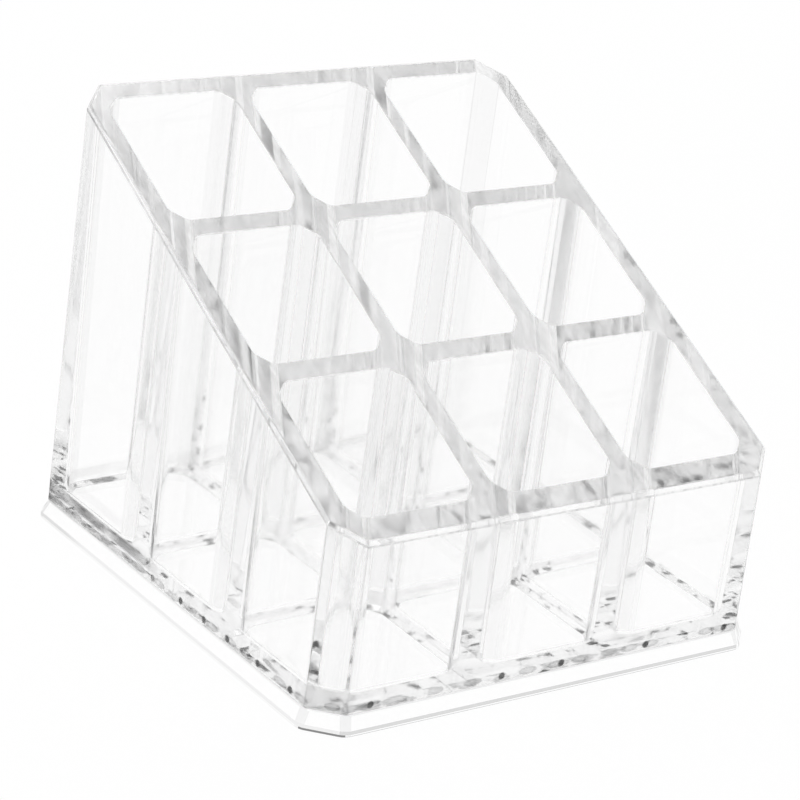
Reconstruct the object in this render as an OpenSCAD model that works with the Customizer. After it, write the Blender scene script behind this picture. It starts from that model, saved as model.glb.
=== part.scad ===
// Clear moulded organizer with a grid of upright pockets, tall at the back and low at the front.
// The pocket body is one moulding, bonded to a bevelled base plate that it stands on.
// All lengths are in millimetres. The origin is at the centre of the underside, with +Z up and
// the low front of the organizer towards -Y.

/* [Pockets] */
// Number of pockets across the width
columns = 3; // [1:1:4]
// Number of pockets from front to back
rows = 3; // [1:1:4]
// Clear width of a pocket at its floor
pocket_w = 24.2; // [18:0.1:40]
// Clear depth of a pocket at its floor, from front to back
pocket_d = 24.8; // [18:0.1:40]
// Leg of the 45 degree cut across each upright corner of a pocket
pocket_cut = 2.5; // [0.5:0.1:6]
// Leg of the 45 degree fillet between the walls of a pocket and its floor
floor_fillet = 0.8; // [0.3:0.1:3]
// Draft of the pocket walls in degrees, which widens a pocket towards its mouth
pocket_draft = 0.5; // [0:0.1:2]

/* [Walls] */
// Thickness of a divider where it is thinnest, level with the top of the back wall
divider_t = 3; // [1.5:0.1:6]
// Thickness of an outer wall where it is thinnest, level with the top of the back wall
wall_t = 3.7; // [2.5:0.1:8]
// Thickness of the floor under the pockets
floor_t = 1.8; // [1:0.1:5]
// Leg of the 45 degree cut down each upright corner of the body
corner_cut = 4.8; // [1:0.1:7]
// Draft of the outer walls in degrees, which narrows the body upwards
body_draft = 0.5; // [0:0.1:2]

/* [Rim] */
// Height of the body's back edge above the base plate
back_h = 75.7; // [50:0.1:110]
// Height of the body's front edge above the base plate
front_h = 29.7; // [18:0.1:48]
// Width of the bevel round the outer edge of the sloping rim
rim_bevel = 0.6; // [0.2:0.1:1.5]

/* [Base plate] */
// How far the base plate stands out past the foot of the body, on every side
base_margin = 1.2; // [0.5:0.1:8]
// Height of the base plate's upright edge
base_edge_h = 0.8; // [0.4:0.1:5]
// Height of the bevel between the upright edge and the foot of the body
base_bevel_h = 2.5; // [1:0.1:6]

/* [Hidden] */

// How far a cut runs past the face that it opens
overrun = 1;

// Tint of the clear plastic
clear_tint = [0.9, 0.93, 0.95, 0.45];

// Corners of a rectangle with cut corners, anticlockwise from the left of the front. Each row
// says which side of x and of y the corner is on, and which of the two the cut draws in.
ring_shares = [
    [-1, -1, 0, 1], [-1, -1, 1, 0],
    [1, -1, 1, 0], [1, -1, 0, 1],
    [1, 1, 0, 1], [1, 1, 1, 0],
    [-1, 1, 1, 0], [-1, 1, 0, 1]
];

// Growth of a 45 degree corner cut for each unit that its whole outline moves outwards
mitre_share = 2 - sqrt(2);

// Least share of a pocket's corner cut that is left where the fillet meets the floor
least_cut_share = 0.1;

pocket_taper = tan(pocket_draft);
body_taper = tan(body_draft);

// Pocket sizes level with the top of the back wall, and the spacing that follows from them
pocket_growth = 2 * pocket_taper * (back_h - floor_t);
pitch_x = pocket_w + pocket_growth + divider_t;
pitch_y = pocket_d + pocket_growth + divider_t;

// Outline of the body at its foot
foot_growth = 2 * body_taper * back_h;
foot_w = columns * pitch_x - divider_t + 2 * wall_t + foot_growth;
foot_d = rows * pitch_y - divider_t + 2 * wall_t + foot_growth;

// Slope of the rim, from the front edge to the back edge of the body
front_reach = foot_d / 2 - body_taper * front_h;
back_reach = foot_d / 2 - body_taper * back_h;
rim_slope = (back_h - front_h) / (back_reach + front_reach);

// Outline of the base plate
base_t = base_edge_h + base_bevel_h;
base_w = foot_w + 2 * base_margin;
base_d = foot_d + 2 * base_margin;
base_cut = corner_cut + mitre_share * base_margin;

// Rectangle with cut corners, level at height z
function flat_ring(w, d, cut, z) = [
    for (s = ring_shares) [s[0] * (w / 2 - s[2] * cut), s[1] * (d / 2 - s[3] * cut), z]
];

// Outline of the body where its drafted walls, moved in by inset, meet the rim's sloping plane
// lowered by drop. The height z of each point solves both planes at once.
function rim_ring(inset, drop) = [
    let (cut = corner_cut - mitre_share * inset, rim_mid = front_h + front_reach * rim_slope)
    for (s = ring_shares)
    let (
        reach_x = foot_w / 2 - inset - s[2] * cut,
        reach_y = foot_d / 2 - inset - s[3] * cut,
        z = (rim_mid - drop + s[1] * reach_y * rim_slope) / (1 + s[1] * body_taper * rim_slope)
    )
    [s[0] * (reach_x - body_taper * z), s[1] * (reach_y - body_taper * z), z]
];

// Solid through a stack of rings that all have the same number of points, lowest ring first
module loft(rings) {
    n = len(rings[0]);
    top = (len(rings) - 1) * n;
    points = [for (ring = rings) for (p = ring) p];
    sides = [
        for (base = [0 : n : top - n]) for (i = [0 : n - 1])
        let (j = (i + 1) % n)
        [base + i, base + n + i, base + n + j, base + j]
    ];
    bottom_cap = [for (i = [0 : n - 1]) i];
    top_cap = [for (i = [0 : n - 1]) top + n - 1 - i];
    polyhedron(points = points, faces = concat([bottom_cap], sides, [top_cap]));
}

// Outside of the body: drafted walls up to the bevel, and the bevel up to the sloping rim
module body_block() {
    loft([
        flat_ring(foot_w, foot_d, corner_cut, 0),
        rim_ring(0, rim_bevel),
        rim_ring(rim_bevel, 0)
    ]);
}

// Inside of one pocket: the fillet above the floor, then drafted walls past the mouth
module pocket_space() {
    mouth_z = back_h + overrun;
    mouth_growth = 2 * pocket_taper * (mouth_z - floor_t);
    wall_z = floor_t + floor_fillet;
    wall_growth = 2 * pocket_taper * floor_fillet;
    floor_inset = 2 * floor_fillet;
    floor_cut = max(pocket_cut - mitre_share * floor_fillet, least_cut_share * pocket_cut);
    loft([
        flat_ring(pocket_w - floor_inset, pocket_d - floor_inset, floor_cut, floor_t),
        flat_ring(pocket_w + wall_growth, pocket_d + wall_growth, pocket_cut, wall_z),
        flat_ring(pocket_w + mouth_growth, pocket_d + mouth_growth, pocket_cut, mouth_z)
    ]);
}

// Moulded body with all its pockets, standing on the base plate
module pocket_body() {
    color(clear_tint)
    translate([0, 0, base_t])
    difference() {
        body_block();
        for (column = [0 : columns - 1], row = [0 : rows - 1])
            translate([
                (column - (columns - 1) / 2) * pitch_x,
                (row - (rows - 1) / 2) * pitch_y,
                0
            ])
            pocket_space();
    }
}

// Plate under the body: an upright edge, then a bevel up to the outline of the body's foot
module base_plate() {
    color(clear_tint)
    union() {
        linear_extrude(height = base_edge_h)
            polygon([for (p = flat_ring(base_w, base_d, base_cut, 0)) [p[0], p[1]]]);
        loft([
            flat_ring(base_w, base_d, base_cut, base_edge_h),
            flat_ring(foot_w, foot_d, corner_cut, base_t)
        ]);
    }
}

base_plate();
pocket_body();
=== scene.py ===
import bmesh
import bpy
from mathutils import Matrix, Vector


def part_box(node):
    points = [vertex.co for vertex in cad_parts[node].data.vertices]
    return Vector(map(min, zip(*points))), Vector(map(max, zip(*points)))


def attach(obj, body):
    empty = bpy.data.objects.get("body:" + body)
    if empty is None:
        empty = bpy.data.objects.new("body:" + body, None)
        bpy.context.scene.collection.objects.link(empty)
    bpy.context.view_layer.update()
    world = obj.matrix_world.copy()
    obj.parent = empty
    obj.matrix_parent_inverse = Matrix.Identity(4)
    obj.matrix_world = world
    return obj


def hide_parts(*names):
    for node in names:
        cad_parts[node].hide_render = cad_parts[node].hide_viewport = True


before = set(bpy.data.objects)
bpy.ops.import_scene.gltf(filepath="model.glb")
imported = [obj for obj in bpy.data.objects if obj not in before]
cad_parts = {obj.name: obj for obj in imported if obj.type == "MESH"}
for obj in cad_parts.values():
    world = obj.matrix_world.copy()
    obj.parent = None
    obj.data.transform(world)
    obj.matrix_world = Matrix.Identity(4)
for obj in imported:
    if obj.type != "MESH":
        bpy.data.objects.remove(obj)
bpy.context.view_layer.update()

MM = 0.001

# Points nearer to each other than this are one point, and points nearer to a cutting plane than
# this are on it
SAME_POINT = 0.002 * MM
ON_PLANE = 0.0001 * MM

# Least angle between the faces of an edge that is rounded, in radians
SHARP = 0.3

# Rounding of the moulding's sharp edges, of the upright edges in the pockets and of the fillets
# at the pocket floors
EDGE_ROUND = 0.18 * MM
UPRIGHT_ROUND = 0.8 * MM
FLOOR_ROUND = 0.12 * MM

# Rounding of the base plate's upright corners and of the edges at its foot, and height of the
# dark line at the foot of its front left corner
PLATE_ROUND = 1.0 * MM
PLATE_EDGE_ROUND = 0.3 * MM
SHADOW_LINE = 0.5 * MM

# Clear gap between the body and the plate, where the bond leaves the two faces apart, and height
# of the film of bond above it
BOND_GAP = 0.03 * MM
FILM_LIFT = 0.03 * MM

# Thickness of the film of bond and of the band of marks round the foot. Light that goes through
# one of them passes two faces, so each face keeps the square root of what the whole lets through.
FILM_THICKNESS = 0.02 * MM
BAND_THICKNESS = 0.05 * MM

# How far the band stands inside the outer faces, how far its foot is above the seam, and how tall
# it is
BAND_INSET = 0.4 * MM
BAND_FOOT = 0.12 * MM
BAND_HEIGHT = 3.9 * MM

# Size of the film over that of the body's section, so that it stays inside the outer faces
FILM_SHARE = 0.996

# Heights above the seam at which the section of the body is taken, over the pocket floors for the
# film and under them for the band
WALL_SECTION = 4 * MM
FOOT_SECTION = 1 * MM

# Faces and edges this near to the outline of the body are on its outside, along an axis or across
# a corner, and the fillets of the pocket floors lie between these two heights above the seam
OUTSIDE_DEPTH = 2 * MM
OUTSIDE_CORNER = 4 * MM
FLOOR_HEIGHTS = (1 * MM, 5 * MM)

# Edges higher than this above the seam belong to the rim and not to the foot
ABOVE_FOOT = 12 * MM

# Distances from the middle of the organizer: to the bond under the front and left walls, to the
# bond under the back and right walls, and to the middle of the smears under the dividers. The
# last is how far those smears reach to each side of it.
NEAR_WALLS = 41.5 * MM
FAR_WALLS = 42 * MM
SMEAR_PLACE = 22.5 * MM
SMEAR_REACH = 7 * MM

# Corners of the organizer, as the sides of X and of Y that they are on
BACK_LEFT = (-1, 1)
FRONT_LEFT = (-1, -1)

# Grey, matt and fleck of faces: share of the light that is kept back, as painted shade and
# reflection standing in for the grey that rims, edges and corners of clear plastic show from
# mirrored surroundings and light trapped inside; roughness above that of the walls; and how far
# flecks change the grey
RIM_SHADE_LOOK = (0.09, 0.07, 1)
MOUTH_SHADE_LOOK = (0.12, 0.1, 1)
NARROW_EDGE_SHADE_LOOK = (0.2, 0.1, 0)
OUTER_EDGE_SHADE_LOOK = (0.35, 0.1, 0.3)
POCKET_CORNER_SHADE_LOOK = (0.06, 0.1, 0)
PLATE_FRONT_SHADE_LOOK = (0.5, 0, 0)
PLATE_EDGE_SHADE_LOOK = (0.24, 0, 0)
PLATE_CORNER_SHADE_LOOK = (0.18, 0.05, 0)
PLATE_CUT_SHADE_LOOK = (0.2, 0.05, 1)
SHADOW_LOOK = (0.95, 0, 0)

# Light that one pass through the bond keeps, by the distance from the middle of a mark
BUBBLE_TONES = [(0.0, 0.92), (0.26, 0.88), (0.36, 0.8), (0.42, 0.82), (0.5, 0.99)]
DARK_BUBBLE_TONES = [(0.0, 0.6), (0.22, 0.5), (0.3, 0.6), (0.37, 1.0)]
SPECK_TONES = [(0.0, 0.5), (0.16, 0.42), (0.28, 1.0)]

# The same for the marks that stand up into the foot of the walls, by the distance from their
# middle. A drop is about 1.3 mm across and a blister is drawn out along the wall.
DROP_TONES = [(0.0, 0.12), (0.26, 0.16), (0.37, 1.0)]
BLISTER_TONES = [(0.0, 0.85), (0.6, 0.72), (0.78, 0.62), (0.88, 0.98)]

# The same for smears and clouds, by the value of the noise that makes them
DIVIDER_SMEAR_TONES = [(0.36, 0.5), (0.42, 0.78), (0.46, 1.0)]
CLOUD_TONES = [(0.4, 0.82), (0.62, 0.98)]
CORNER_SMEAR_TONES = [(0.38, 0.36), (0.5, 0.5), (0.6, 0.72), (0.7, 0.95)]
STROKE_TONES = [(0.3, 0.55), (0.34, 0.85), (0.38, 1.0)]

# Strength of the smears round the foot, by their height above the seam over 4 mm
SMEAR_BAND = [(0.4, 0.0), (0.52, 1.0), (0.88, 1.0), (0.99, 0.0)]

# Strength of all the marks of the band at the back and on the right
FAINT_MARKS = 0.2

# Share of the bond's cells that are clear, that hold a dark bubble and that hold a speck
CLEAR_SHARE = 0.25
DARK_SHARE = 0.25
SPECK_SHARE = 0.17

# How far the flecks of painted reflection lighten and darken a grey face, as a multiple of its grey
FLECK_DEPTH = 1.4

# How strongly the plastic bends light, and how often light may turn on its way through it
PLASTIC_IOR = 1.49
LIGHT_TURNS = 48


def new_material(name):
    """A material with no nodes yet, its nodes and its links."""
    material = bpy.data.materials.new(name)
    material.use_nodes = True
    nodes, links = material.node_tree.nodes, material.node_tree.links
    nodes.clear()
    return material, nodes, links


def ramp_of(nodes, links, value, stops):
    """Colour ramp in greys. stops is a list of (position, grey)."""
    ramp = nodes.new("ShaderNodeValToRGB")
    marks = ramp.color_ramp.elements
    while len(marks) < len(stops):
        marks.new(0.5)
    for mark, (position, grey) in zip(marks, stops):
        mark.position = position
        mark.color = (grey, grey, grey, 1)
    links.new(value, ramp.inputs["Fac"])
    return ramp.outputs["Color"]


def math_of(nodes, links, operation, *values):
    """Result of one Math node. Each value is a socket or a number."""
    made = nodes.new("ShaderNodeMath")
    made.operation = operation
    for socket, value in zip(made.inputs, values):
        if isinstance(value, (int, float)):
            socket.default_value = value
        else:
            links.new(value, socket)
    return made.outputs["Value"]


def range_of(nodes, links, value, start, end, low=0.0, high=1.0):
    """low where value is start or less, high where it is end or more, and even between them."""
    made = nodes.new("ShaderNodeMapRange")
    made.inputs["From Min"].default_value = start
    made.inputs["From Max"].default_value = end
    made.inputs["To Min"].default_value = low
    made.inputs["To Max"].default_value = high
    links.new(value, made.inputs["Value"])
    return made.outputs["Result"]


def mix_of(nodes, links, share, first, second):
    """Colour between two, where first is shown at a share of 0. Each is a socket or a grey."""
    made = nodes.new("ShaderNodeMix")
    made.data_type = "RGBA"
    links.new(share, made.inputs["Factor"])
    for name, colour in (("A", first), ("B", second)):
        if isinstance(colour, (int, float)):
            made.inputs[name].default_value = (colour, colour, colour, 1)
        else:
            links.new(colour, made.inputs[name])
    return made.outputs["Result"]


def times_of(nodes, links, first, second):
    """Product of two colours."""
    made = nodes.new("ShaderNodeMix")
    made.data_type = "RGBA"
    made.blend_type = "MULTIPLY"
    made.inputs["Factor"].default_value = 1.0
    links.new(first, made.inputs["A"])
    links.new(second, made.inputs["B"])
    return made.outputs["Result"]


def shader_mix_of(nodes, links, share, first, second):
    """Shader between two, where first is shown at a share of 0."""
    made = nodes.new("ShaderNodeMixShader")
    links.new(share, made.inputs["Fac"])
    links.new(first, made.inputs[1])
    links.new(second, made.inputs[2])
    return made.outputs["Shader"]


def parts_of(nodes, links, colour):
    """Red, green and blue of a colour, such as the three random numbers of a cell."""
    made = nodes.new("ShaderNodeSeparateColor")
    links.new(colour, made.inputs["Color"])
    return made.outputs["Red"], made.outputs["Green"], made.outputs["Blue"]


def face_number(nodes, name):
    """A number that the mesh keeps for each face."""
    made = nodes.new("ShaderNodeAttribute")
    made.attribute_name = name
    return made.outputs["Fac"]


def axes_of(nodes, links):
    """X, Y and Z of a point on the piece."""
    where = nodes.new("ShaderNodeTexCoord")
    axes = nodes.new("ShaderNodeSeparateXYZ")
    links.new(where.outputs["Object"], axes.inputs["Vector"])
    return axes.outputs["X"], axes.outputs["Y"], axes.outputs["Z"]


def stretched(nodes, links, texture, scale, warp=0.0):
    """A texture on Object coordinates, with its own scale along each axis. warp is how far it is
    bent out of shape, in units of the texture."""
    where = nodes.new("ShaderNodeTexCoord")
    stretch = nodes.new("ShaderNodeMapping")
    stretch.inputs["Scale"].default_value = scale
    links.new(where.outputs["Object"], stretch.inputs["Vector"])
    made = nodes.new(texture)
    made.inputs["Scale"].default_value = 1.0
    links.new(stretch.outputs["Vector"], made.inputs["Vector"])
    if warp:
        bend = nodes.new("ShaderNodeTexNoise")
        bend.inputs["Scale"].default_value = 2.5
        links.new(stretch.outputs["Vector"], bend.inputs["Vector"])
        moved = nodes.new("ShaderNodeVectorMath")
        moved.operation = "MULTIPLY_ADD"
        moved.inputs[1].default_value = (warp, warp, warp)
        links.new(bend.outputs["Color"], moved.inputs[0])
        links.new(stretch.outputs["Vector"], moved.inputs[2])
        links.new(moved.outputs["Vector"], made.inputs["Vector"])
    return made


def near_corner(nodes, links, sides, start, end):
    """0 away from one corner of the organizer and 1 near it. start and end are distances from the
    middle of the organizer along the diagonal, in mm."""
    diagonal = Vector((*sides, 0)).normalized() / MM
    where = nodes.new("ShaderNodeTexCoord")
    corner = nodes.new("ShaderNodeVectorMath")
    corner.operation = "DOT_PRODUCT"
    corner.inputs[1].default_value = diagonal
    links.new(where.outputs["Object"], corner.inputs[0])
    return range_of(nodes, links, corner.outputs["Value"], start, end)


def clear_plastic(name, ripple, depth_tint, rough):
    """Polished clear plastic that greys with depth, with the faint ripple of a moulding.

    The mesh says for each face what share of the light it keeps back, as grey, which is painted
    shade and reflection; how much rougher it is than the rest, as matt; and how flecked the grey
    is, as fleck."""
    material, nodes, links = new_material(name)
    plastic = nodes.new("ShaderNodeBsdfPrincipled")
    plastic.inputs["IOR"].default_value = PLASTIC_IOR
    plastic.inputs["Transmission Weight"].default_value = 1.0

    # Painted streaks of reflection: fine flecks lighten and darken a grey face. They stand in for
    # the room mirrored unevenly by faces that the saw and the polish left a little wavy. They show
    # from outside. Light that turns back and forth in the plastic meets the grey alone.
    flecks = stretched(nodes, links, "ShaderNodeTexNoise", (1400, 300, 200))
    flecks.inputs["Detail"].default_value = 4.0
    uneven = range_of(
        nodes, links, flecks.outputs["Fac"], 0.38, 0.62, low=-FLECK_DEPTH, high=FLECK_DEPTH
    )
    fleck = face_number(nodes, "fleck")
    side = nodes.new("ShaderNodeNewGeometry")
    outside = math_of(nodes, links, "GREATER_THAN", fleck, side.outputs["Backfacing"])
    strength = math_of(nodes, links, "MULTIPLY", fleck, outside)

    # The painted grey itself is deeper at the back left
    at_back_left = near_corner(nodes, links, BACK_LEFT, 52, 56)
    deeper = math_of(nodes, links, "MULTIPLY_ADD", at_back_left, 0.9, 1.0)
    change = math_of(nodes, links, "MULTIPLY_ADD", strength, uneven, deeper)
    share = math_of(nodes, links, "MULTIPLY", face_number(nodes, "grey"), change)
    links.new(mix_of(nodes, links, share, 1.0, 0.0), plastic.inputs["Base Color"])
    polish = math_of(nodes, links, "ADD", face_number(nodes, "matt"), rough)
    links.new(polish, plastic.inputs["Roughness"])

    # Flow lines run up the walls, so the ripple is drawn out along Z
    flow = stretched(nodes, links, "ShaderNodeTexNoise", (120, 120, 10))
    flow.inputs["Detail"].default_value = 0.0
    bump = nodes.new("ShaderNodeBump")
    bump.inputs["Strength"].default_value = ripple
    bump.inputs["Distance"].default_value = 0.02 * MM
    links.new(flow.outputs["Fac"], bump.inputs["Height"])
    links.new(bump.outputs["Normal"], plastic.inputs["Normal"])

    # Lamps shine through the plastic on to what it stands on
    pass_light = nodes.new("ShaderNodeBsdfTransparent")
    pass_light.inputs["Color"].default_value = (0.94, 0.94, 0.94, 1)
    path = nodes.new("ShaderNodeLightPath")
    surface = shader_mix_of(
        nodes, links, path.outputs["Is Shadow Ray"], plastic.outputs["BSDF"],
        pass_light.outputs["BSDF"],
    )

    # A middle grey takes up half of the density
    depth = nodes.new("ShaderNodeVolumeAbsorption")
    depth.inputs["Color"].default_value = (0.5, 0.5, 0.5, 1)
    depth.inputs["Density"].default_value = 2 * depth_tint
    output = nodes.new("ShaderNodeOutputMaterial")
    links.new(surface, output.inputs["Surface"])
    links.new(depth.outputs["Volume"], output.inputs["Volume"])
    return material


def tint_two_faces(nodes, links, colour):
    """Finish a material that only tints the light through a thin piece with two faces."""
    each = nodes.new("ShaderNodeGamma")
    each.inputs["Gamma"].default_value = 0.5
    links.new(colour, each.inputs["Color"])
    skin = nodes.new("ShaderNodeBsdfTransparent")
    links.new(each.outputs["Color"], skin.inputs["Color"])
    output = nodes.new("ShaderNodeOutputMaterial")
    links.new(skin.outputs["BSDF"], output.inputs["Surface"])


def bond_film_material():
    """Bond under the walls, with flat bubbles that have a dark rim, and small dark specks.

    They are thickest under the front and left walls. A grey cloud lies at the back left."""
    material, nodes, links = new_material("bond_grey")
    x, y, _ = axes_of(nodes, links)

    cells = stretched(nodes, links, "ShaderNodeTexVoronoi", (165, 165, 1), warp=0.6)
    cells.voronoi_dimensions = "2D"
    red, green, _ = parts_of(nodes, links, cells.outputs["Color"])
    bubble = ramp_of(nodes, links, cells.outputs["Distance"], BUBBLE_TONES)
    heavy = ramp_of(nodes, links, cells.outputs["Distance"], DARK_BUBBLE_TONES)
    is_dark = math_of(nodes, links, "GREATER_THAN", green, 1 - DARK_SHARE)
    is_clear = math_of(nodes, links, "LESS_THAN", red, CLEAR_SHARE)
    bubbles = mix_of(nodes, links, is_clear, mix_of(nodes, links, is_dark, bubble, heavy), 1.0)

    dots = stretched(nodes, links, "ShaderNodeTexVoronoi", (220, 220, 1), warp=0.5)
    dots.voronoi_dimensions = "2D"
    red, _, _ = parts_of(nodes, links, dots.outputs["Color"])
    speck = ramp_of(nodes, links, dots.outputs["Distance"], SPECK_TONES)
    no_speck = math_of(nodes, links, "GREATER_THAN", red, SPECK_SHARE)
    specks = mix_of(nodes, links, no_speck, speck, 1.0)

    # Under the dividers and the other outer walls only a few dark marks are left
    clump = stretched(nodes, links, "ShaderNodeTexNoise", (70, 70, 1))
    few = math_of(nodes, links, "LESS_THAN", clump.outputs["Fac"], 0.56)
    sparse = mix_of(nodes, links, few, speck, 1.0)
    outer = math_of(nodes, links, "MINIMUM", x, y)
    under_front_left = math_of(nodes, links, "LESS_THAN", outer, -NEAR_WALLS)
    full = times_of(nodes, links, bubbles, specks)
    marks = mix_of(nodes, links, under_front_left, sparse, full)

    # Smears under the dividers and under the back and right walls, which show in the foot of each
    # divider through the outer wall
    smear = stretched(nodes, links, "ShaderNodeTexNoise", (280, 280, 1))
    smeared = ramp_of(nodes, links, smear.outputs["Fac"], DIVIDER_SMEAR_TONES)
    in_dividers = math_of(nodes, links, "COMPARE", outer, -SMEAR_PLACE, SMEAR_REACH)
    inner = math_of(nodes, links, "MAXIMUM", x, y)
    in_far_walls = math_of(nodes, links, "GREATER_THAN", inner, FAR_WALLS)
    smear_here = math_of(nodes, links, "MAXIMUM", in_dividers, in_far_walls)
    marks = times_of(nodes, links, marks, mix_of(nodes, links, smear_here, 1.0, smeared))

    # The cloud is under the left wall towards its back end, and deepest in the corner
    cloud = stretched(nodes, links, "ShaderNodeTexNoise", (160, 160, 160))
    cloud.inputs["Detail"].default_value = 3.0
    grey = ramp_of(nodes, links, cloud.outputs["Fac"], CLOUD_TONES)
    under_left = math_of(nodes, links, "LESS_THAN", x, -NEAR_WALLS)
    towards_back = near_corner(nodes, links, BACK_LEFT, 34, 49)
    cloud_here = math_of(nodes, links, "MULTIPLY", towards_back, under_left)
    veil = mix_of(nodes, links, cloud_here, 1.0, grey)
    in_corner = near_corner(nodes, links, BACK_LEFT, 58.4, 60.9)
    veil = times_of(nodes, links, veil, mix_of(nodes, links, in_corner, 1.0, 0.7))

    tint_two_faces(nodes, links, times_of(nodes, links, marks, veil))
    return material


def row_of_marks(nodes, links, along, above, spacing, radii, scale, tones, share):
    """One row of marks 1 mm above the seam. along is a length and above is in mm. spacing is in
    mm, radii are along the wall and up it, tones go by the distance from a mark's middle times
    scale, and share is how many marks are there."""
    cells = nodes.new("ShaderNodeTexVoronoi")
    cells.voronoi_dimensions = "1D"
    cells.inputs["Scale"].default_value = 1.0
    cells.inputs["Randomness"].default_value = 0.7
    links.new(math_of(nodes, links, "MULTIPLY", along, 1 / (spacing * MM)), cells.inputs["W"])
    red, _, _ = parts_of(nodes, links, cells.outputs["Color"])
    radius_along, radius_up = radii
    aside = math_of(
        nodes, links, "MULTIPLY", cells.outputs["Distance"], spacing * scale / radius_along
    )
    up = math_of(nodes, links, "MULTIPLY_ADD", above, scale / radius_up, -scale / radius_up)
    reach = math_of(
        nodes, links, "SQRT",
        math_of(
            nodes, links, "ADD",
            math_of(nodes, links, "MULTIPLY", aside, aside),
            math_of(nodes, links, "MULTIPLY", up, up),
        ),
    )
    mark = ramp_of(nodes, links, reach, tones)
    missing = math_of(nodes, links, "GREATER_THAN", red, share)
    return mix_of(nodes, links, missing, mark, 1.0)


def foot_marks_material(seam):
    """Grey smears a little above the seam, thickest near the back left corner, and rows of drops
    and blisters."""
    material, nodes, links = new_material("foot_marks")
    x, y, z = axes_of(nodes, links)
    above = math_of(nodes, links, "MULTIPLY_ADD", z, 1 / MM, -seam / MM)

    smear = stretched(nodes, links, "ShaderNodeTexNoise", (110, 110, 420))
    smear.inputs["Detail"].default_value = 3.0
    smeared = ramp_of(nodes, links, smear.outputs["Fac"], CORNER_SMEAR_TONES)
    strokes = ramp_of(nodes, links, smear.outputs["Fac"], STROKE_TONES)
    near = near_corner(nodes, links, BACK_LEFT, 34, 41.5)
    upper = mix_of(nodes, links, near, strokes, smeared)
    band = ramp_of(nodes, links, math_of(nodes, links, "MULTIPLY", above, 0.25), SMEAR_BAND)
    veil = mix_of(nodes, links, band, 1.0, upper)
    in_front_cut = near_corner(nodes, links, FRONT_LEFT, 60, 61.5)
    veil = times_of(nodes, links, veil, mix_of(nodes, links, in_front_cut, 1.0, 0.82))

    # X less Y grows along the left wall and the front wall alike, round the corner between them
    along = math_of(nodes, links, "SUBTRACT", x, y)
    drops = row_of_marks(
        nodes, links, along, above,
        spacing=9.0, radii=(1, 1), scale=0.5, tones=DROP_TONES, share=0.6,
    )
    no_drops = math_of(nodes, links, "MAXIMUM", near, in_front_cut)
    drops = mix_of(nodes, links, no_drops, drops, 1.0)
    blisters = row_of_marks(
        nodes, links, along, above,
        spacing=5.6, radii=(2.2, 0.8), scale=1.0, tones=BLISTER_TONES, share=0.75,
    )
    marks = times_of(nodes, links, times_of(nodes, links, drops, blisters), veil)
    lively = face_number(nodes, "lively")
    tint_two_faces(nodes, links, mix_of(nodes, links, lively, 1.0, marks))
    return material


def upright(e):
    """Whether an edge runs up, as in the corners of a pocket and of the plate."""
    along = (e.verts[0].co - e.verts[1].co).normalized()
    return abs(along.z) > 0.6


def sharp_edges(work, wanted):
    """Edges between two faces that meet at an angle, where wanted(edge) says so."""
    return [
        e for e in work.edges
        if len(e.link_faces) == 2 and e.calc_face_angle() > SHARP and wanted(e)
    ]


def mark_narrow(work, faces):
    """Mark faces that only round off an edge."""
    narrow = work.faces.layers.int["narrow"]
    for face in faces:
        face[narrow] = 1


def round_edges(work, edges, width, segments):
    """Round some edges, and return the new narrow faces."""
    made = bmesh.ops.bevel(
        work,
        geom=edges,
        offset=width,
        offset_type="OFFSET",
        affect="EDGES",
        segments=segments,
        profile=0.5,
        material=-1,
        clamp_overlap=True,
    )
    mark_narrow(work, made["faces"])
    return made["faces"]


def dress(work, faces, look):
    """Write the grey, the matt and the fleck of some faces."""
    for name, value in zip(("grey", "matt", "fleck"), look):
        layer = work.faces.layers.float[name]
        for face in faces:
            face[layer] = value


def merged_copy(node):
    """A bmesh of a CAD node, with its loose triangles joined."""
    work = bmesh.new()
    work.from_mesh(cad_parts[node].data)
    bmesh.ops.remove_doubles(work, verts=work.verts, dist=SAME_POINT)
    return work


def joined_copy(node):
    """A bmesh of a CAD node with its flat faces joined, and layers for the looks of its faces."""
    work = merged_copy(node)
    bmesh.ops.dissolve_limit(
        work, angle_limit=0.001, use_dissolve_boundaries=False, verts=work.verts, edges=work.edges
    )
    for name in ("grey", "matt", "fleck"):
        work.faces.layers.float.new(name)
    work.faces.layers.int.new("narrow")
    return work


def piece_of(work, name, material, soft=False):
    """Finish a bmesh as a piece, without the normals that it had from the CAD node.

    With soft, the faces that round off an edge are shaded as one curve from the flat face on one
    side to the flat face on the other, and the flat faces stay flat."""
    for face in work.faces:
        face.smooth = soft
    if soft:
        work.normal_update()
        narrow = work.faces.layers.int["narrow"]
        normals = []
        for v in work.verts:
            flat = [f for f in v.link_faces if not f[narrow]] or v.link_faces
            normals.append(sum((f.normal * f.calc_area() for f in flat), Vector()).normalized())
    mesh = bpy.data.meshes.new(name)
    work.to_mesh(mesh)
    work.free()
    if mesh.has_custom_normals:
        mesh.attributes.remove(mesh.attributes["custom_normal"])
    if soft:
        mesh.normals_split_custom_set_from_vertices(normals)
    piece = bpy.data.objects.new(name, mesh)
    bpy.context.scene.collection.objects.link(piece)
    mesh.materials.append(material)
    return piece


def open_rim(work):
    """Take the rim's flat face away, and give the way that it faces."""
    work.normal_update()
    # The rim leans forward. The pocket floors face straight up, and the walls face sideways
    sloping = [f for f in work.faces if 0.8 < f.normal.z < 0.97]
    flat = max(sloping, key=lambda f: f.calc_area()).normal.copy()
    rim = [f for f in sloping if f.normal.dot(flat) > 0.999]
    bmesh.ops.delete(work, geom=rim, context="FACES")
    spare = [v for v in work.verts if len(v.link_edges) == 2]
    bmesh.ops.dissolve_verts(work, verts=spare)
    return flat


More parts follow.
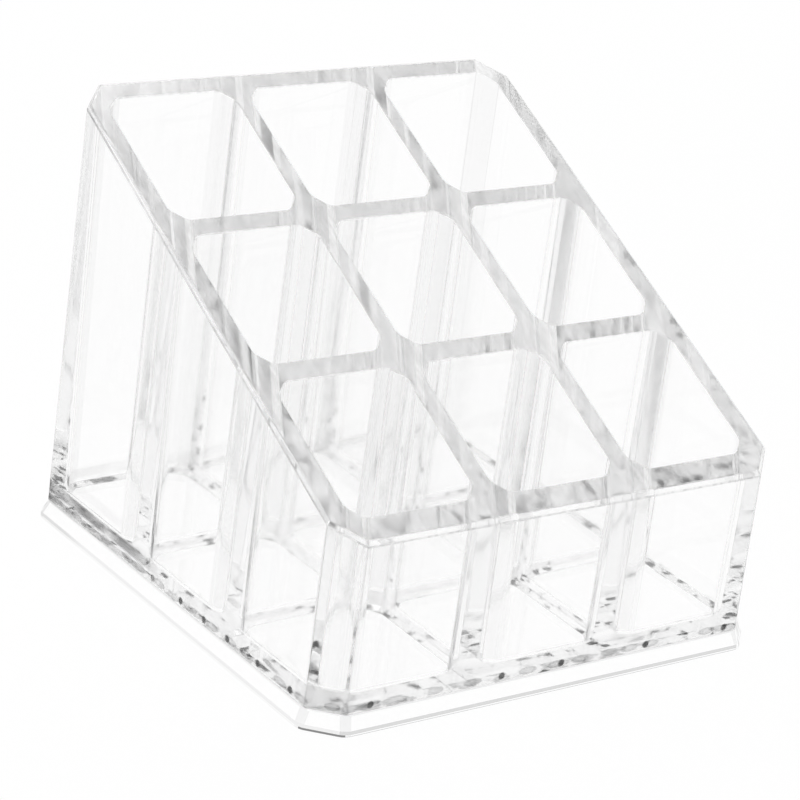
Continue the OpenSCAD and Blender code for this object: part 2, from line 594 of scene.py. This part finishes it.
def close_rim(work, flat, width):
    """Fill the rim's face, and round the edges all round it, at the mouths and at the outside.

    Gives the narrow faces and the faces of the rim."""
    border = [e for e in work.edges if e.is_boundary]
    filled = bmesh.ops.triangle_fill(
        work, edges=border, use_beauty=True, use_dissolve=False, normal=flat
    )
    rim = [g for g in filled["geom"] if isinstance(g, bmesh.types.BMFace)]
    bmesh.ops.recalc_face_normals(work, faces=work.faces)
    ring = bmesh.ops.inset_region(
        work, faces=rim, thickness=width, depth=0.0, use_even_offset=True, use_boundary=True
    )["faces"]
    # The edge itself goes down by the same length, so that the ring slopes across the corner
    edge = {v for e in border for v in e.verts}
    for v in edge:
        wall = next(e for e in v.link_edges if not any(f in ring for f in e.link_faces))
        v.co += (wall.other_vert(v).co - v.co).normalized() * width
    mark_narrow(work, ring)
    return ring, rim


def pocket_moulding():
    """The pocket body, with its sharp edges rounded, and painted shade and reflection that grey its
    rim, mouths, outer edges and pocket corners.
    """
    low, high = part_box("pocket_body")
    seam = low[2]
    inner_x, inner_y = high[0] - OUTSIDE_DEPTH, high[1] - OUTSIDE_DEPTH

    def outside(place):
        x, y = abs(place.x), abs(place.y)
        return x > inner_x or y > inner_y or x + y > inner_x + inner_y - OUTSIDE_CORNER

    def in_pockets(e):
        return upright(e) and not any(outside(v.co) for v in e.verts)

    def at_floor(e):
        lowest, highest = FLOOR_HEIGHTS
        return all(seam + lowest < v.co.z < seam + highest for v in e.verts)

    def on_outside(e):
        at_rim = any(f.normal.z > 0.72 for f in e.link_faces)
        return all(outside(v.co) for v in e.verts) and not at_rim

    def under_rim(face):
        return 0.05 < face.normal.z < 0.75 and face.calc_center_median().z > seam + ABOVE_FOOT

    def in_pocket_corner(face):
        # Such a face is nearly upright, and turned away from both X and Y
        nearly_upright = abs(face.normal.z) < 0.03
        turned = max(abs(face.normal.x), abs(face.normal.y)) < 0.995
        return nearly_upright and turned and not outside(face.calc_center_median())

    work = joined_copy("pocket_body")
    for v in work.verts:
        v.co.z = max(v.co.z, seam + BOND_GAP)
    flat = open_rim(work)
    round_edges(work, sharp_edges(work, in_pockets), UPRIGHT_ROUND, 5)
    round_edges(work, sharp_edges(work, at_floor), FLOOR_ROUND, 3)
    work.normal_update()
    # Painted shade in the upright corners of the pockets
    dress(work, [f for f in work.faces if in_pocket_corner(f)], POCKET_CORNER_SHADE_LOOK)
    ring, rim = close_rim(work, flat, EDGE_ROUND)
    # Painted shade and reflection grey the mouths and the rim
    dress(work, ring, MOUTH_SHADE_LOOK)
    dress(work, rim, RIM_SHADE_LOOK)
    narrow = round_edges(work, sharp_edges(work, on_outside), EDGE_ROUND, 2)
    work.normal_update()
    # Painted shade along the outer edges, deeper under the rim
    dress(work, narrow, NARROW_EDGE_SHADE_LOOK)
    dress(work, [f for f in narrow if under_rim(f)], OUTER_EDGE_SHADE_LOOK)
    return piece_of(work, "moulded_pocket_body", body_plastic, soft=True)


def bevelled_plate():
    """The base plate, with rounded corners and soft edges. Its edge is dark along the underside
    of the cut front left corner, where the plate meets its own shadow."""
    low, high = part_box("base_plate")
    middle = (low[2] + high[2]) / 2
    front_left = Vector((*FRONT_LEFT, 0)).normalized()
    back_left = Vector((*BACK_LEFT, 0)).normalized()

    def at_foot(e):
        return all(v.co.z < middle for v in e.verts)

    def above_foot(e):
        return not at_foot(e)

    def in_front(face):
        return face.calc_center_median().y < low[1] + 1 * MM

    def in_shadow(face):
        facing = (face.normal * Vector((1, 1, 0))).normalized().dot(front_left)
        return facing > 0.95 and face.calc_center_median().z < low[2] + SHADOW_LINE

    work = joined_copy("base_plate")
    corners = round_edges(work, sharp_edges(work, upright), PLATE_ROUND, 4)
    # Painted shade on the rounded upright corners
    dress(work, corners, PLATE_CORNER_SHADE_LOOK)
    narrow = round_edges(work, sharp_edges(work, at_foot), PLATE_EDGE_ROUND, 3)
    narrow += round_edges(work, sharp_edges(work, above_foot), EDGE_ROUND, 2)
    work.normal_update()
    # Painted shade on the narrow edges, and painted shadow lines along the front
    dress(work, narrow, PLATE_EDGE_SHADE_LOOK)
    dress(work, [f for f in narrow if in_front(f)], PLATE_FRONT_SHADE_LOOK)
    bmesh.ops.bisect_plane(
        work,
        geom=work.verts[:] + work.edges[:] + work.faces[:],
        dist=ON_PLANE,
        plane_co=(0, 0, low[2] + SHADOW_LINE),
        plane_no=(0, 0, 1),
    )
    dress(work, [f for f in work.faces if in_shadow(f)], SHADOW_LOOK)
    # Painted shade, with flecks of painted reflection, on the faces of the cut corners
    cut = [f for f in work.faces if abs(f.normal.dot(back_left)) > 0.8]
    dress(work, cut, PLATE_CUT_SHADE_LOOK)
    return piece_of(work, "bevelled_base_plate", plate_plastic, soft=True)


def section_of_body(height):
    """Outline of the walls at a height above the seam, as a bmesh and its edges."""
    low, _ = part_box("pocket_body")
    work = merged_copy("pocket_body")
    cut = bmesh.ops.bisect_plane(
        work,
        geom=work.verts[:] + work.edges[:] + work.faces[:],
        dist=ON_PLANE,
        plane_co=(0, 0, low[2] + height),
        plane_no=(0, 0, 1),
        clear_inner=True,
        clear_outer=True,
    )
    return work, [g for g in cut["geom_cut"] if isinstance(g, bmesh.types.BMEdge)]


def thicken(work, thickness):
    """Make a sheet a thin closed piece, with its faces pointing outwards."""
    bmesh.ops.recalc_face_normals(work, faces=work.faces)
    bmesh.ops.solidify(work, geom=work.faces[:], thickness=thickness)
    bmesh.ops.recalc_face_normals(work, faces=work.faces)


def bond_film():
    """Thin film of bond in the foot of the body. It runs under every wall and divider, so its
    outline is their own section a little above the pocket floors."""
    low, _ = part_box("pocket_body")
    work, rims = section_of_body(WALL_SECTION)
    bmesh.ops.triangle_fill(work, edges=rims, use_beauty=True, use_dissolve=False, normal=(0, 0, 1))
    bmesh.ops.delete(work, geom=[v for v in work.verts if not v.link_faces], context="VERTS")
    seat = low[2] + BOND_GAP + FILM_LIFT
    for v in work.verts:
        v.co = Vector((v.co.x * FILM_SHARE, v.co.y * FILM_SHARE, seat))
    thicken(work, FILM_THICKNESS)
    piece = piece_of(work, "bond_film", bond_film_material())
    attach(piece, "root")
    return piece


def foot_marks():
    """Bubbles and smears of the bond round the foot, as a thin band just inside its outer faces."""
    low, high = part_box("pocket_body")
    work, rims = section_of_body(FOOT_SECTION)
    share_x, share_y = 1 - BAND_INSET / high[0], 1 - BAND_INSET / high[1]
    for v in work.verts:
        v.co = Vector((v.co.x * share_x, v.co.y * share_y, low[2] + BAND_FOOT))
    made = bmesh.ops.extrude_edge_only(work, edges=rims)
    top = [g for g in made["geom"] if isinstance(g, bmesh.types.BMVert)]
    bmesh.ops.translate(work, verts=top, vec=(0, 0, BAND_HEIGHT))
    thicken(work, BAND_THICKNESS)
    lively = work.faces.layers.float.new("lively")
    for face in work.faces:
        middle = face.calc_center_median()
        at_right, at_back = middle.x > high[0] - OUTSIDE_DEPTH, middle.y > high[1] - OUTSIDE_DEPTH
        face[lively] = FAINT_MARKS if at_right or at_back else 1.0
    piece = piece_of(work, "foot_marks", foot_marks_material(low[2]))
    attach(piece, "root")
    return piece


body_plastic = clear_plastic("body_clear_plastic", ripple=0.12, depth_tint=0.7, rough=0.04)
plate_plastic = clear_plastic("plate_clear_plastic", ripple=0.0, depth_tint=0.1, rough=0.1)

body = pocket_moulding()
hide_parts("pocket_body")
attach(body, "root")

plate = bevelled_plate()
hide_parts("base_plate")
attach(plate, "root")

bond_film()
foot_marks()


def seen_share(nodes, links, share):
    """share for rays from the camera, mirrored rays and rays through plastic, and 0 for others."""
    path = nodes.new("ShaderNodeLightPath")
    direct = math_of(
        nodes, links, "MAXIMUM", path.outputs["Is Camera Ray"], path.outputs["Is Glossy Ray"]
    )
    seen = math_of(nodes, links, "MAXIMUM", direct, path.outputs["Is Transmission Ray"])
    return math_of(nodes, links, "MULTIPLY", seen, share)


def white_floor():
    """Wide white floor that keeps the shadow but shows white to the camera and through plastic."""
    mesh = bpy.data.meshes.new("studio_floor")
    work = bmesh.new()
    bmesh.ops.create_grid(work, x_segments=1, y_segments=1, size=4)
    work.to_mesh(mesh)
    work.free()
    floor = bpy.data.objects.new("studio_floor", mesh)
    bpy.context.scene.collection.objects.link(floor)
    # A hair above the underside of the plate, so that the two don't lie in one plane
    floor.location.z = 0.01 * MM
    material, nodes, links = new_material("floor_white")
    paper = nodes.new("ShaderNodeBsdfDiffuse")
    paper.inputs["Color"].default_value = (0.95, 0.95, 0.95, 1)
    white = nodes.new("ShaderNodeEmission")
    white.inputs["Strength"].default_value = 1.0
    surface = shader_mix_of(
        nodes, links, seen_share(nodes, links, 0.93), paper.outputs["BSDF"],
        white.outputs["Emission"],
    )
    output = nodes.new("ShaderNodeOutputMaterial")
    links.new(surface, output.inputs["Surface"])
    mesh.materials.append(material)
    return floor


def studio_world():
    """Even grey light, with a white background for the camera, mirrored and refracted rays."""
    world = bpy.data.worlds.new("studio")
    bpy.context.scene.world = world
    world.use_nodes = True
    nodes, links = world.node_tree.nodes, world.node_tree.links
    nodes.clear()
    soft = nodes.new("ShaderNodeBackground")
    soft.inputs["Color"].default_value = (1, 1, 1, 1)
    soft.inputs["Strength"].default_value = 0.5

    # The backdrop is white up to well above eye level, and greyer towards the ceiling
    where = nodes.new("ShaderNodeTexCoord")
    axes = nodes.new("ShaderNodeSeparateXYZ")
    links.new(where.outputs["Generated"], axes.inputs["Vector"])
    tone = ramp_of(nodes, links, axes.outputs["Z"], [(0.4, 1.0), (0.9, 0.8)])
    backdrop = nodes.new("ShaderNodeBackground")
    backdrop.inputs["Strength"].default_value = 1.0
    links.new(tone, backdrop.inputs["Color"])

    surface = shader_mix_of(
        nodes, links, seen_share(nodes, links, 1.0), soft.outputs["Background"],
        backdrop.outputs["Background"],
    )
    output = nodes.new("ShaderNodeOutputWorld")
    links.new(surface, output.inputs["Surface"])


def soft_box(name, place, aim, size, power):
    """Large square lamp that faces a point."""
    lamp = bpy.data.lights.new(name, "AREA")
    lamp.shape = "SQUARE"
    lamp.size = size
    lamp.energy = power
    box = bpy.data.objects.new(name, lamp)
    bpy.context.scene.collection.objects.link(box)
    box.location = place
    box.rotation_mode = "QUATERNION"
    box.rotation_quaternion = (Vector(aim) - Vector(place)).to_track_quat("-Z", "Y")
    box.visible_transmission = False
    return box


def camera_at(place, right, down, forward, focal_share):
    """Camera from its own three axes. focal_share is its focal length over its sensor's width."""
    eye = bpy.data.cameras.new("camera")
    eye.sensor_width = 36
    eye.lens = eye.sensor_width * focal_share
    eye.clip_start, eye.clip_end = 0.01, 50
    camera = bpy.data.objects.new("camera", eye)
    bpy.context.scene.collection.objects.link(camera)
    turn = Matrix((right, -Vector(down), -Vector(forward))).transposed()
    camera.matrix_world = Matrix.Translation(place) @ turn.to_4x4()
    bpy.context.scene.camera = camera


white_floor()
studio_world()
soft_box("soft_box_left", place=(-0.9, -0.5, 1.1), aim=(0, 0, 0.03), size=0.9, power=10)
soft_box("soft_box_back", place=(0.5, 0.9, 1.0), aim=(0, 0, 0.03), size=0.9, power=7)

camera_at(
    place=(-0.2892881, -0.3690914, 0.2185925),
    right=(0.8122226, -0.5704524, 0.1219774),
    down=(-0.1204412, -0.3685827, -0.9217596),
    forward=(0.5707788, 0.7339828, -0.3680772),
    focal_share=2920.5228 / 800,
)

# Light turns many times in clear walls before it leaves them
cycles = bpy.context.scene.cycles
cycles.max_bounces = LIGHT_TURNS
cycles.transmission_bounces = LIGHT_TURNS
cycles.glossy_bounces = LIGHT_TURNS
cycles.transparent_max_bounces = LIGHT_TURNS

bpy.context.scene.view_settings.view_transform = "Standard"
